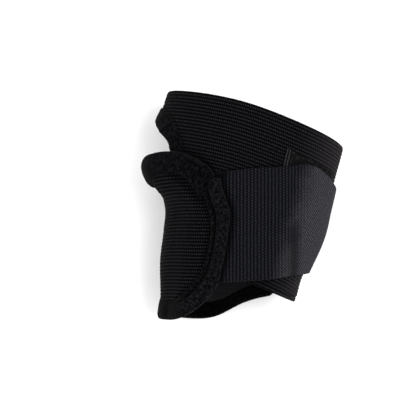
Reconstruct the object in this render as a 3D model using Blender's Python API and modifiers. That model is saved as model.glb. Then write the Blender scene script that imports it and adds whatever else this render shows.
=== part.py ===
"""Wrist guard for a right hand, lying palm down in its worn shape.

Every fabric layer follows one hand form. A place on the form has an angle round the hand (degrees: 0 at the
little-finger side, 90 on the back, 180 at the thumb side, 270 in the palm), a distance along the hand (mm,
positive towards the fingers) and a lift (mm off the skin). +X is the little-finger side, +Y the fingers, +Z up.
"""

import math

import bmesh
import bpy
import numpy as np
from mathutils import Matrix, Vector

MM = 0.001

# Hand form: distance along the hand, thumb-side X, little-finger-side X, height of the back.
HAND_SECTIONS = (
    (-75.0, -19.5, 31.5, 44.0),
    (-50.0, -22.8, 32.2, 45.0),
    (-31.0, -28.3, 33.2, 45.8),
    (-17.0, -30.6, 34.8, 47.0),
    (-5.0, -33.4, 37.0, 48.3),
    (1.0, -37.0, 37.5, 49.0),
    (6.0, -43.2, 37.5, 49.6),
    (11.0, -47.6, 37.2, 50.0),
    (17.0, -49.0, 36.9, 50.0),
    (28.0, -49.5, 36.5, 50.0),
    (45.0, -49.2, 36.2, 48.8),
    (60.0, -48.0, 34.6, 46.5),
)
WIDEST_Z = 24.0
PALM_Z = 7.2
BACK_ROUNDNESS = 2.3
PALM_ROUNDNESS = 3.2
CENTRE_X = -4.85
CENTRE_Y = -3.41

# Gaps and layers, each layer as (lift of its inner face, thickness).
GAP = 0.3
ELASTIC = (0.5, 1.4)
PALM_LINING = (0.3, 0.7)
PALM_FOAM = (1.3, 1.6)
PALM_SHELL = (3.2, 1.0)
KEEPER = (2.2, 0.8)
WEB_TAPE = (0.3, 2.0)
STRAP_LIFT = 2.3
STRAP_THICKNESS = 1.8
STRAP_RISE_OVER_KEEPER = 1.1
STRAP_RISE_ANGLES = (70.0, 56.0)
TAPE_WIDTH = 8.0
TAPE_GAP = 0.6
PALM_EDGE_TAPE_SHARE = 0.6
SEAM_GAP_ANGLE = 0.6
SHARP_ANGLE = 40.0

# Where the guard divides: the flap's fold at the thumb side, the strap's fold at the little-finger side.
FLAP_FOLD = 179.4
PALM_FOLD = 180.6
STRAP_FOLD = 0.8
ANCHOR_FOLD = -0.8
SEAM_ANGLE = 328.0
WEB_SEAM_ANGLE = 238.0
THUMB_TAPE_END = 227.0
EDGE_TAPE_START = 239.0

# A point on each hinge axis. The flap's axis runs along (-0.289, 0.957, 0), the strap's along (0, 1, 0).
FLAP_AXIS_POINT = (-42.3, -3.0, WIDEST_Z)
STRAP_AXIS_POINT = (43.5, 4.0, WIDEST_Z)

# Back panel edges: angle, distance along the hand.
BACK_FINGER_EDGE = (
    (-32.0, 41.0),
    (5.0, 44.6),
    (32.0, 48.0),
    (79.0, 51.0),
    (133.0, 51.0),
    (180.0, 47.0),
    (238.0, 43.0),
)
BACK_WRIST_EDGE = (
    (-32.0, -30.0),
    (0.0, -33.4),
    (24.0, -32.8),
    (50.0, -31.0),
    (66.0, -29.9),
    (92.0, -21.0),
    (115.0, -10.0),
    (130.0, 2.0),
    (143.0, 20.0),
    (148.0, 26.0),
    (156.0, 32.0),
    (175.0, 38.3),
    (204.0, 37.8),
    (238.0, 36.5),
)

# Palm panel edges.
PALM_FINGER_EDGE = (
    (180.0, 2.5),
    (196.0, 2.5),
    (211.0, 7.0),
    (221.0, 16.0),
    (230.0, 28.0),
    (238.0, 34.0),
    (250.0, 36.5),
    (290.0, 36.5),
    (328.0, 34.5),
)
PALM_WRIST_EDGE = (
    (180.0, -50.0),
    (215.0, -49.5),
    (260.0, -44.0),
    (300.0, -34.0),
    (328.0, -26.5),
)

# Thumb-hole edge of the back panel: share of the way round, angle, distance along the hand.
WEB_INNER = (
    (0.0, 144.0, 19.0),
    (0.2, 148.5, 25.6),
    (0.4, 156.5, 31.6),
    (0.6, 175.0, 38.0),
    (0.8, 200.0, 37.6),
    (1.0, 222.0, 36.6),
)
WEB_OUTER = (
    (0.0, 154.0, 17.5),
    (0.2, 158.5, 22.6),
    (0.4, 166.0, 26.4),
    (0.6, 178.0, 31.0),
    (0.8, 200.0, 30.8),
    (1.0, 221.5, 30.6),
)

# Flap: inner and outer line of its bound edge, from the forearm tip round to the thumb hole.
FLAP_INNER = (
    (0.0, 172.0, -50.0),
    (0.12, 149.0, -50.0),
    (0.25, 132.0, -43.5),
    (0.36, 119.0, -34.5),
    (0.5, 115.0, -22.0),
    (0.64, 117.0, -8.0),
    (0.75, 122.0, 1.5),
    (0.82, 130.0, 8.0),
    (0.9, 144.0, 12.0),
    (0.96, 158.0, 10.0),
    (1.0, 173.0, 6.0),
)
FLAP_OUTER = (
    (0.0, 170.0, -58.0),
    (0.12, 140.0, -57.2),
    (0.25, 116.5, -47.0),
    (0.36, 102.0, -36.5),
    (0.5, 100.0, -22.0),
    (0.64, 104.0, -6.0),
    (0.75, 108.5, 7.5),
    (0.82, 118.0, 16.2),
    (0.9, 140.0, 20.4),
    (0.96, 158.0, 17.8),
    (1.0, 170.0, 14.0),
)
FLAP_FOLD_ENDS = (-50.0, 3.0)
SADDLE_START = 0.8
TAPE_JOIN_SHARE = 0.004

# Flap layers on the skin, and how far the flap rises to pass over the strap.
FLAP_LAYERS = {"lining": (0.3, 0.6), "hook": (0.1, 0.6), "foam": (1.3, 0.8), "shell": (2.9, 1.0)}
FLAP_RISE = 4.2
FLAP_RISE_ANGLES = (154.0, 131.0)
HOLE_RISE = 2.8
HOLE_RISE_ALONG = (-6.0, 9.0)
HOLE_RISE_ANGLES = (178.0, 160.0)
FLAP_TAPE_THICKNESS = 3.6
FLAP_TAPE_GAP = 1.0

# Parts of the flap's area: from the fold (0) to the bound edge (1), from the forearm (0) to the thumb hole (1).
FLAP_FOAM_AREA = (0.0, 0.97, 0.0, 0.93)
FLAP_LINING_AREA = (0.0, 0.64, 0.0, 1.0)
FLAP_HOOK_AREA = (0.66, 1.0, 0.28, 0.8)

# Strap edges: angle, distance along the hand; then the angle of its end at the forearm and finger corners.
STRAP_FINGER_EDGE = (
    (-34.0, 20.0),
    (0.0, 24.2),
    (14.0, 27.0),
    (24.0, 29.8),
    (32.0, 31.4),
    (40.0, 30.6),
    (78.0, 22.4),
    (126.0, 13.4),
)
STRAP_WRIST_EDGE = (
    (-34.0, -14.5),
    (0.0, -18.5),
    (26.0, -21.0),
    (49.0, -25.9),
    (74.0, -30.3),
    (99.0, -33.7),
    (120.0, -37.0),
)
STRAP_END_ANGLES = (113.5, 124.5)
HEM_WIDTH_ANGLE = 8.0
HEM_GAP_ANGLE = 0.6
ANCHOR_END = -27.5

# Keeper patch on the back panel: angles, then its finger edge and its depth.
KEEPER_ANGLES = (14.0, 52.0)
KEEPER_FINGER_EDGE = (31.6, 36.0)
KEEPER_DEPTH = 24.0

# Stay and its pocket under the palm.
POCKET_WIDTH = 34.0
POCKET_ENDS = (-39.0, 33.0)
POCKET_HEIGHT = 2.7
POCKET_FLOOR = 1.0
POCKET_X = -1.0
STAY_WIDTH = 17.0
STAY_ENDS = (-36.5, 26.0)
STAY_THICKNESS = 1.4
STAY_CLEARANCE = 0.5
STAY_CORNER = 6.0
POCKET_CORNER = 4.0
CORNER_STEPS = 4

# Tape over the little-finger seam.
SEAM_TAPE_LIFT = 4.6
SEAM_TAPE_THICKNESS = 0.9
SEAM_TAPE_HALF_ANGLE = 3.0
SEAM_TAPE_ENDS = (-24.0, 32.0)

# Cells of each panel's grid: round the hand and along it, or for a flap or web tape across it and along it.
GRIDS = {
    "palm_lining": (20, 9),
    "palm_foam": (20, 9),
    "palm_shell": (20, 9),
    "thumb_binding": (9, 2),
    "palm_edge_binding": (12, 2),
    "cuff_binding": (20, 2),
    "palm_seam_tape": (3, 11),
    "back_panel": (46, 10),
    "web_binding": (3, 16),
    "keeper_hook_patch": (8, 5),
    "strap_anchor": (9, 7),
    "strap_web": (26, 8),
    "strap_end_hem": (3, 8),
    "flap_shell": (10, 14),
    "flap_foam": (10, 14),
    "flap_lining": (7, 14),
    "flap_hook_patch": (4, 10),
    "flap_edge_binding": (3, 24),
    "saddle_binding": (3, 10),
}


def smooth(table, at):
    """Smooth curve through a table whose first column is the position; returns one row per position asked."""
    rows = np.array(table, float)
    positions, values = rows[:, 0], rows[:, 1:]
    slopes = np.gradient(values, positions, axis=0)
    at = np.clip(np.atleast_1d(np.asarray(at, float)), positions[0], positions[-1])
    i = np.clip(np.searchsorted(positions, at, side="right") - 1, 0, len(positions) - 2)
    step = (positions[i + 1] - positions[i])[:, None]
    t = (at - positions[i])[:, None] / step
    return (
        (2 * t**3 - 3 * t**2 + 1) * values[i]
        + (t**3 - 2 * t**2 + t) * step * slopes[i]
        + (3 * t**2 - 2 * t**3) * values[i + 1]
        + (t**3 - t**2) * step * slopes[i + 1]
    )


def ease(value, start, end):
    """0 before start, 1 after end, smooth between; start may be the larger."""
    t = np.clip((np.asarray(value, float) - start) / (end - start), 0.0, 1.0)
    return t * t * (3 - 2 * t)


def skin(angle, along):
    """Points on the bare hand form, in mm."""
    turn = np.radians(angle)
    section = smooth(HAND_SECTIONS, along)
    middle = (section[:, 0] + section[:, 1]) / 2
    half_width = (section[:, 1] - section[:, 0]) / 2
    on_back = np.sin(turn) >= 0
    half_height = np.where(on_back, section[:, 2] - WIDEST_Z, WIDEST_Z - PALM_Z)
    power = np.where(on_back, BACK_ROUNDNESS, PALM_ROUNDNESS)
    across = np.abs(np.cos(turn) / half_width) ** power
    upright = np.abs(np.sin(turn) / half_height) ** power
    reach = (across + upright) ** (-1 / power)
    return np.stack([middle + reach * np.cos(turn), along, WIDEST_Z + reach * np.sin(turn)], axis=1)


def form(angle, along, lift):
    """Points at a lift off the hand form, and the outward directions there."""
    small = 0.05
    angle = np.asarray(angle, float)
    along = np.asarray(along, float)
    round_hand = skin(angle + small, along) - skin(angle - small, along)
    along_hand = skin(angle, along + small) - skin(angle, along - small)
    outward = np.cross(along_hand, round_hand)
    outward /= np.linalg.norm(outward, axis=1)[:, None]
    lifts = np.broadcast_to(np.asarray(lift, float), angle.shape)
    return skin(angle, along) + outward * lifts[:, None], outward


def strap_lift(angle, along):
    """The strap rises where it passes over the keeper patch."""
    return STRAP_LIFT + STRAP_RISE_OVER_KEEPER * ease(angle, *STRAP_RISE_ANGLES)


def flap_rise(angle, along):
    """How far the flap is lifted by the strap, or by the back panel beside the thumb hole."""
    over_strap = FLAP_RISE * ease(angle, *FLAP_RISE_ANGLES)
    over_back = HOLE_RISE * ease(along, *HOLE_RISE_ALONG) * ease(angle, *HOLE_RISE_ANGLES)
    return over_strap + over_back * (1 - over_strap / FLAP_RISE)


def new_collection(name):
    collection = bpy.data.collections.new(name)
    bpy.context.scene.collection.children.link(collection)
    return collection


def material(name, colour, roughness, metallic=0.0):
    result = bpy.data.materials.new(name)
    result.use_nodes = True
    shader = result.node_tree.nodes["Principled BSDF"]
    shader.inputs["Base Color"].default_value = (*colour, 1.0)
    shader.inputs["Roughness"].default_value = roughness
    shader.inputs["Metallic"].default_value = metallic
    return result


def to_collection(obj, collection):
    for owner in list(obj.users_collection):
        owner.objects.unlink(obj)
    collection.objects.link(obj)


def panel(name, place, lift, thickness, kind):
    """A curved sheet: place(u, v) gives its angles and distances, lift its height off the skin."""
    columns, rows = GRIDS[name]
    bpy.ops.mesh.primitive_grid_add(x_subdivisions=columns, y_subdivisions=rows, size=2)
    obj = bpy.context.object
    obj.name = name
    mesh = obj.data
    flat = np.empty(len(mesh.vertices) * 3)
    mesh.vertices.foreach_get("co", flat)
    u, v = (flat.reshape(-1, 3)[:, :2].T + 1) / 2
    angle, along = place(u, v)
    height = lift(angle, along) if callable(lift) else lift
    points, outward = form(angle, along, height)
    points = (points - np.array([CENTRE_X, CENTRE_Y, 0.0])) * MM
    mesh.vertices.foreach_set("co", points.ravel())
    mesh.update()
    first = mesh.polygons[0]
    if np.dot(np.array(first.normal), outward[first.vertices[0]]) < 0:
        mesh.flip_normals()
    solidify = obj.modifiers.new("thickness", "SOLIDIFY")
    solidify.thickness = thickness * MM
    solidify.offset = 1.0
    solidify.use_even_offset = True
    mesh.materials.append(kind)
    mesh.shade_smooth()
    mesh.set_sharp_from_angle(angle=math.radians(SHARP_ANGLE))
    to_collection(obj, bpy.data.collections["wrist_guard"])
    return obj


def between(first_angle, last_angle, low_edge, high_edge, margin=0.0):
    """Placement for a panel between two edges that run round the hand."""

    def place(u, v):
        angle = first_angle + (last_angle - first_angle) * u
        low = smooth(low_edge, angle)[:, 0] + margin
        high = smooth(high_edge, angle)[:, 0] - margin
        return angle, low + (high - low) * v

    return place


def tape_between(inner, outer, start=0.0, end=1.0, gap=GAP):
    """Placement for a tape that runs along a curve, from its inner line to its outer line."""

    def place(u, v):
        share = start + (end - start) * v
        near, far = smooth(inner, share), smooth(outer, share)
        width = np.linalg.norm((far - near), axis=1)
        across = u + (1 - u) * gap / width
        spot = near + (far - near) * across[:, None]
        return spot[:, 0], spot[:, 1]

    return place


def edge_tape(edge, first_angle, last_angle, direction):
    """Placement for a tape beyond an edge that runs round the hand."""

    def place(u, v):
        angle = first_angle + (last_angle - first_angle) * u
        along = smooth(edge, angle)[:, 0]
        return angle, along + direction * (TAPE_GAP + (TAPE_WIDTH - TAPE_GAP) * v)

    return place


def flap_area(start_u, end_u, start_v=0.0, end_v=1.0):
    """Placement inside the flap: u runs from the fold to the bound edge, v from the forearm to the thumb hole."""

    def place(u, v):
        share = start_v + (end_v - start_v) * v
        towards = start_u + (end_u - start_u) * u
        edge = smooth(FLAP_INNER, share)
        fold_along = FLAP_FOLD_ENDS[0] + (FLAP_FOLD_ENDS[1] - FLAP_FOLD_ENDS[0]) * share
        angle = FLAP_FOLD + (edge[:, 0] - FLAP_FOLD) * towards
        return angle, fold_along + (edge[:, 1] - fold_along) * towards

    return place


def add_palm_panel(fabrics):
    """Three-layer palm panel from the flap's fold to the little-finger seam, with its three tapes."""
    layers = (
        ("palm_lining", PALM_LINING, fabrics["lining"]),
        ("palm_foam", PALM_FOAM, fabrics["foam"]),
        ("palm_shell", PALM_SHELL, fabrics["palm"]),
    )
    area = between(PALM_FOLD, SEAM_ANGLE, PALM_WRIST_EDGE, PALM_FINGER_EDGE)
    for name, (lift, thickness), kind in layers:
        panel(name, area, lift, thickness, kind)
    inner_lift = PALM_LINING[0]
    height = PALM_SHELL[0] + PALM_SHELL[1] - inner_lift
    tapes = (
        ("thumb_binding", PALM_FINGER_EDGE, PALM_FOLD, THUMB_TAPE_END, 1.0),
        ("palm_edge_binding", PALM_FINGER_EDGE, EDGE_TAPE_START, SEAM_ANGLE, PALM_EDGE_TAPE_SHARE),
        ("cuff_binding", PALM_WRIST_EDGE, PALM_FOLD, SEAM_ANGLE, -1.0),
    )
    for name, edge, first, last, direction in tapes:
        panel(name, edge_tape(edge, first, last, direction), inner_lift, height, fabrics["binding"])


def add_back_panel(fabrics):
    """Ribbed elastic over the back of the hand, its thumb-hole tape and the keeper patch."""
    first = SEAM_ANGLE - 360 + SEAM_GAP_ANGLE
    area = between(first, WEB_SEAM_ANGLE - SEAM_GAP_ANGLE, BACK_WRIST_EDGE, BACK_FINGER_EDGE)
    panel("back_panel", area, *ELASTIC, fabrics["ribbed"])
    panel("web_binding", tape_between(WEB_INNER, WEB_OUTER), *WEB_TAPE, fabrics["binding"])

    def patch(u, v):
        angle = KEEPER_ANGLES[0] + (KEEPER_ANGLES[1] - KEEPER_ANGLES[0]) * u
        top = KEEPER_FINGER_EDGE[0] + (KEEPER_FINGER_EDGE[1] - KEEPER_FINGER_EDGE[0]) * u
        return angle, top - KEEPER_DEPTH * (1 - v)

    panel("keeper_hook_patch", patch, *KEEPER, fabrics["hook"])


def add_seam_tape(fabrics):
    """Tape over the seam where the palm panel, the back panel and the strap's end meet."""

    def place(u, v):
        angle = SEAM_ANGLE + SEAM_TAPE_HALF_ANGLE * (2 * u - 1)
        return angle, SEAM_TAPE_ENDS[0] + (SEAM_TAPE_ENDS[1] - SEAM_TAPE_ENDS[0]) * v

    panel("palm_seam_tape", place, SEAM_TAPE_LIFT, SEAM_TAPE_THICKNESS, fabrics["binding"])


def add_strap(fabrics):
    """Wide loop-faced strap: its sewn anchor, the free web and the hem at its end."""
    anchor_area = between(ANCHOR_END, ANCHOR_FOLD, STRAP_WRIST_EDGE, STRAP_FINGER_EDGE)
    anchor_lift = STRAP_LIFT + STRAP_RISE_OVER_KEEPER
    panel("strap_anchor", anchor_area, anchor_lift, STRAP_THICKNESS, fabrics["loop"])

    def strip(is_hem):
        def place(u, v):
            end = STRAP_END_ANGLES[0] + (STRAP_END_ANGLES[1] - STRAP_END_ANGLES[0]) * v
            seam = end - HEM_WIDTH_ANGLE
            if is_hem:
                angle = seam + HEM_GAP_ANGLE + (end - seam - HEM_GAP_ANGLE) * u
            else:
                angle = STRAP_FOLD + (seam - STRAP_FOLD) * u
            low = smooth(STRAP_WRIST_EDGE, angle)[:, 0]
            high = smooth(STRAP_FINGER_EDGE, angle)[:, 0]
            return angle, low + (high - low) * v

        return place

    web = panel("strap_web", strip(False), strap_lift, STRAP_THICKNESS, fabrics["loop"])
    hem = panel("strap_end_hem", strip(True), strap_lift, STRAP_THICKNESS, fabrics["loop"])
    return [web, hem]


def add_flap(fabrics):
    """Thumb-side closing flap: lining, foam, ribbed shell, hook patch and the two edge tapes."""

    def lifted(layer):
        return lambda angle, along: FLAP_LAYERS[layer][0] + flap_rise(angle, along)

    layers = (
        ("flap_shell", "shell", flap_area(0.0, 1.0), fabrics["ribbed"]),
        ("flap_foam", "foam", flap_area(*FLAP_FOAM_AREA), fabrics["foam"]),
        ("flap_lining", "lining", flap_area(*FLAP_LINING_AREA), fabrics["lining"]),
        ("flap_hook_patch", "hook", flap_area(*FLAP_HOOK_AREA), fabrics["hook"]),
    )
    pieces = []
    for name, layer, area, kind in layers:
        pieces.append(panel(name, area, lifted(layer), FLAP_LAYERS[layer][1], kind))
    tapes = (
        ("flap_edge_binding", 0.0, SADDLE_START - TAPE_JOIN_SHARE),
        ("saddle_binding", SADDLE_START + TAPE_JOIN_SHARE, 1.0),
    )
    for name, start, end in tapes:
        place = tape_between(FLAP_INNER, FLAP_OUTER, start, end, FLAP_TAPE_GAP)
        pieces.append(panel(name, place, lifted("lining"), FLAP_TAPE_THICKNESS, fabrics["binding"]))
    return pieces


def rounded_plate(name, width, ends, bottom, thickness, radius, kind):
    """A flat plate with round corners, from a filled outline."""
    outline = bpy.data.curves.new(name, "CURVE")
    outline.dimensions = "2D"
    outline.fill_mode = "BOTH"
    outline.extrude = thickness / 2 * MM
    points = []
    corners = ((1, 1, 0), (-1, 1, 90), (-1, -1, 180), (1, -1, 270))
    for side, end, first_turn in corners:
        centre_x = side * (width / 2 - radius)
        centre_y = (ends[1] - radius) if end > 0 else (ends[0] + radius)
        for step in range(CORNER_STEPS + 1):
            turn = math.radians(first_turn + step * 90 / CORNER_STEPS)
            points.append((centre_x + radius * math.cos(turn), centre_y + radius * math.sin(turn)))
    spline = outline.splines.new("POLY")
    spline.points.add(len(points) - 1)
    for spot, (x, y) in zip(spline.points, points):
        spot.co = ((x + POCKET_X - CENTRE_X) * MM, (y - CENTRE_Y) * MM, 0, 1)
    spline.use_cyclic_u = True
    guide = bpy.data.objects.new(name + "_outline", outline)
    guide.location.z = (bottom + thickness / 2) * MM
    bpy.context.scene.collection.objects.link(guide)
    bpy.context.view_layer.update()
    evaluated = guide.evaluated_get(bpy.context.evaluated_depsgraph_get())
    mesh = bpy.data.meshes.new_from_object(evaluated)
    solid = bmesh.new()
    solid.from_mesh(mesh)
    bmesh.ops.remove_doubles(solid, verts=solid.verts, dist=0.00001)
    solid.to_mesh(mesh)
    solid.free()
    plate = bpy.data.objects.new(name, mesh)
    plate.matrix_world = guide.matrix_world
    bpy.data.objects.remove(guide)
    bpy.data.collections["wrist_guard"].objects.link(plate)
    mesh.materials.clear()
    mesh.materials.append(kind)
    return plate


def add_stay(fabrics):
    """Sewn pocket under the palm, open towards the forearm, and the flat metal stay inside it."""
    pocket = rounded_plate("stay_pocket", POCKET_WIDTH, POCKET_ENDS, 0.0, POCKET_HEIGHT, POCKET_CORNER,
                           fabrics["palm"])
    slot_width = STAY_WIDTH + 2 * STAY_CLEARANCE
    slot_start = POCKET_ENDS[0] - POCKET_CORNER
    slot_end = STAY_ENDS[1] + STAY_CLEARANCE
    bpy.ops.mesh.primitive_cube_add(size=1)
    cutter = bpy.context.object
    cutter.name = "stay_slot_cutter"
    cutter.scale = (slot_width * MM, (slot_end - slot_start) * MM, POCKET_HEIGHT * MM)
    cutter.location = (
        (POCKET_X - CENTRE_X) * MM,
        ((slot_start + slot_end) / 2 - CENTRE_Y) * MM,
        (POCKET_FLOOR + POCKET_HEIGHT / 2) * MM,
    )
    to_collection(cutter, bpy.data.collections["cutters"])
    cutter.hide_render = True
    cutter.display_type = "WIRE"
    cut = pocket.modifiers.new("stay_slot", "BOOLEAN")
    cut.object = cutter
    cut.operation = "DIFFERENCE"
    stay_bottom = POCKET_FLOOR + GAP
    stay = rounded_plate("palm_stay", STAY_WIDTH, STAY_ENDS, stay_bottom, STAY_THICKNESS, STAY_CORNER,
                         fabrics["metal"])
    return stay


def hold(name, point, pieces):
    """Parents a moving body's pieces to an empty on its joint's axis."""
    empty = bpy.data.objects.new(name, None)
    empty.location = Vector(((point[0] - CENTRE_X), (point[1] - CENTRE_Y), point[2])) * MM
    bpy.data.collections["wrist_guard"].objects.link(empty)
    bpy.context.view_layer.update()
    for piece in pieces:
        piece.parent = empty
        piece.matrix_parent_inverse = Matrix.Translation(-empty.location)


def main():
    for obj in list(bpy.data.objects):
        bpy.data.objects.remove(obj, do_unlink=True)
    new_collection("wrist_guard")
    new_collection("cutters")
    fabrics = {
        "ribbed": material("ribbed_elastic", (0.012, 0.012, 0.014), 0.85),
        "binding": material("binding_tape", (0.008, 0.008, 0.009), 0.95),
        "loop": material("loop_strap", (0.035, 0.037, 0.045), 0.9),
        "hook": material("hook_tape", (0.014, 0.014, 0.017), 0.6),
        "palm": material("palm_fabric", (0.014, 0.014, 0.016), 0.9),
        "lining": material("lining", (0.02, 0.02, 0.023), 0.8),
        "foam": material("foam", (0.05, 0.05, 0.055), 1.0),
        "metal": material("stay_aluminium", (0.6, 0.6, 0.62), 0.35, 1.0),
    }
    add_palm_panel(fabrics)
    add_back_panel(fabrics)
    add_seam_tape(fabrics)
    free_strap = add_strap(fabrics)
    flap = add_flap(fabrics)
    stay = add_stay(fabrics)
    hold("flap_hinge", FLAP_AXIS_POINT, flap)
    hold("strap_hinge", STRAP_AXIS_POINT, free_strap)
    hold("stay_guide", (POCKET_X, STAY_ENDS[0], POCKET_FLOOR + GAP + STAY_THICKNESS / 2), [stay])


main()
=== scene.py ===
"""Looks of the wrist guard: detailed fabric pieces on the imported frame, with procedural materials.

Every fabric follows the same hand form as the part. A place on it has an angle round the hand (degrees: 0 at
the little-finger side, 90 on the back, 180 at the thumb side, 270 in the palm), a distance along the hand in
mm (positive towards the fingers) and a lift off the skin in mm.
"""

import math
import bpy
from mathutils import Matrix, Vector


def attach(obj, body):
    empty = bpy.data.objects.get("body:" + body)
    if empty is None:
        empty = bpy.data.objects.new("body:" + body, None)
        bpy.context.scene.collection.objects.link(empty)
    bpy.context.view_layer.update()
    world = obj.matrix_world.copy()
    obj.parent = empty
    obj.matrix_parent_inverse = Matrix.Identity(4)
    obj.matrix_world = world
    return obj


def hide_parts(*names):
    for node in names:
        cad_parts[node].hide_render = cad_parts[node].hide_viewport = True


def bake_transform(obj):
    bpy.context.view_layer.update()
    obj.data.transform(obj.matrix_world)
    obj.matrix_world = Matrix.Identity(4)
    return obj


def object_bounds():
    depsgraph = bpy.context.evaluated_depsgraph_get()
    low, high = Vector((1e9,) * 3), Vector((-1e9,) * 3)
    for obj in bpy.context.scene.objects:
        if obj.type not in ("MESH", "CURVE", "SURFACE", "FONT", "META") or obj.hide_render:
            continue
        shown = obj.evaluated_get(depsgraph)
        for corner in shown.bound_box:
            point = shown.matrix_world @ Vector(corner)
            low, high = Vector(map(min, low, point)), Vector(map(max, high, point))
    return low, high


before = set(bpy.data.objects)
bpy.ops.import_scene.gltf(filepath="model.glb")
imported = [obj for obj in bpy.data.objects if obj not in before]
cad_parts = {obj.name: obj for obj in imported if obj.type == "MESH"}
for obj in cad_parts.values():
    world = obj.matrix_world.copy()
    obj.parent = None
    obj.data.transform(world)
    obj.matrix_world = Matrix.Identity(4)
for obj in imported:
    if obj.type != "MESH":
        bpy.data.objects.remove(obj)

from types import SimpleNamespace

import bpy
import numpy as np
from mathutils import Vector

cad_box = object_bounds()

MM = 0.001

# ---------------------------------------------------------------- the hand form, as in the part

HAND_SECTIONS = (
    (-75.0, -19.5, 31.5, 44.0), (-50.0, -22.8, 32.2, 45.0), (-31.0, -28.3, 33.2, 45.8),
    (-17.0, -30.6, 34.8, 47.0), (-5.0, -33.4, 37.0, 48.3), (1.0, -37.0, 37.5, 49.0),
    (6.0, -43.2, 37.5, 49.6), (11.0, -47.6, 37.2, 50.0), (17.0, -49.0, 36.9, 50.0),
    (28.0, -49.5, 36.5, 50.0), (45.0, -49.2, 36.2, 48.8), (60.0, -48.0, 34.6, 46.5),
)
WIDEST_Z = 24.0
PALM_Z = 7.2
BACK_ROUNDNESS = 2.3
PALM_ROUNDNESS = 3.2
CENTRE_X = -4.85
CENTRE_Y = -3.41

BACK_FINGER_EDGE = (
    (-32.0, 41.0), (5.0, 44.6), (32.0, 48.0), (79.0, 51.0), (133.0, 51.0), (180.0, 47.0), (238.0, 43.0),
)
BACK_WRIST_EDGE = (
    (-32.0, -30.0), (0.0, -33.4), (24.0, -32.8), (50.0, -31.0), (66.0, -29.9), (92.0, -21.0),
    (115.0, -10.0), (130.0, 2.0), (143.0, 20.0), (148.0, 26.0), (156.0, 32.0), (175.0, 38.3),
    (204.0, 37.8), (238.0, 36.5),
)
PALM_FINGER_EDGE = (
    (180.0, 2.5), (196.0, 2.5), (211.0, 7.0), (221.0, 16.0), (230.0, 28.0), (238.0, 34.0),
    (250.0, 36.5), (290.0, 36.5), (328.0, 34.5),
)
PALM_WRIST_EDGE = (
    (180.0, -50.0), (215.0, -49.5), (260.0, -44.0), (300.0, -34.0), (328.0, -26.5),
)
FLAP_EDGE = (
    (0.0, 180.0, -50.0), (0.12, 149.0, -50.0), (0.25, 132.0, -43.5), (0.36, 119.0, -34.5),
    (0.5, 115.0, -22.0), (0.64, 117.0, -8.0), (0.75, 122.0, 1.5), (0.82, 130.0, 8.0),
    (0.9, 144.0, 12.0), (0.96, 158.0, 10.0), (1.0, 180.0, 2.5),
)
STRAP_FINGER_EDGE = (
    (-34.0, 18.5), (0.0, 22.4), (14.0, 26.0), (24.0, 29.6), (32.0, 31.3), (40.0, 30.7), (54.0, 27.1),
    (78.0, 22.9), (126.0, 13.4),
)
STRAP_WRIST_EDGE = (
    (-34.0, -14.0), (0.0, -16.8), (26.0, -19.8), (49.0, -25.4), (74.0, -30.0), (99.0, -33.5),
    (120.0, -37.0),
)
STRAP_ANGLES = (-27.5, 113.5, 124.5)
KEEPER_ANGLES = (14.0, 54.5)
KEEPER_FINGER_EDGE = (31.6, 36.0)
KEEPER_DEPTH = 24.0
SEAM_ANGLE = 328.0
FOLD = 180.0
FLAP_RISE = 4.2
FLAP_RISE_ANGLES = (154.0, 131.0)
HOLE_RISE = 2.8
HOLE_RISE_ALONG = (-6.0, 9.0)
HOLE_RISE_ANGLES = (178.0, 160.0)
POCKET_X = -1.0
POCKET_WIDTH = 34.0
POCKET_ENDS = (-39.0, 33.0)
POCKET_FLANGE_Z = 1.85
POCKET_COVER = 0.95
POCKET_THICKNESS = 0.85
POCKET_STITCH_SINK = 0.12
STAY_ROOM = (9.2, 11.4)
STAY_ROOM_END = (27.2, 29.6)

# ---------------------------------------------------------------- tapes: share of the way, angle, distance

WEB_INNER = (
    (0.0, 137.0, 11.5), (0.2, 147.5, 25.2), (0.4, 156.5, 31.6), (0.6, 175.0, 38.0), (0.8, 200.0, 37.6),
    (1.0, 222.0, 36.6),
)
WEB_OUTER = (
    (0.0, 147.0, 10.0), (0.2, 155.0, 22.4), (0.4, 163.5, 26.4), (0.6, 178.0, 31.0), (0.8, 200.0, 30.8),
    (1.0, 221.5, 30.6),
)
# From the flap, round the thumb side, into the palm.
HOLE_INNER = (
    (0.0, 126.0, 4.2), (0.08, 130.5, 8.8), (0.24, 143.5, 12.4), (0.38, 157.0, 10.0), (0.52, 178.0, 5.8),
    (0.64, 196.0, 5.4), (0.77, 211.0, 8.8), (0.88, 221.0, 16.0), (1.0, 227.5, 25.0),
)
HOLE_OUTER = (
    (0.0, 111.5, 11.0), (0.08, 118.0, 16.2), (0.24, 140.0, 20.4), (0.38, 158.0, 18.0),
    (0.52, 180.0, 10.4), (0.64, 196.0, 9.8), (0.77, 211.0, 15.0), (0.88, 221.0, 24.0),
    (1.0, 228.0, 33.0),
)
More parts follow.
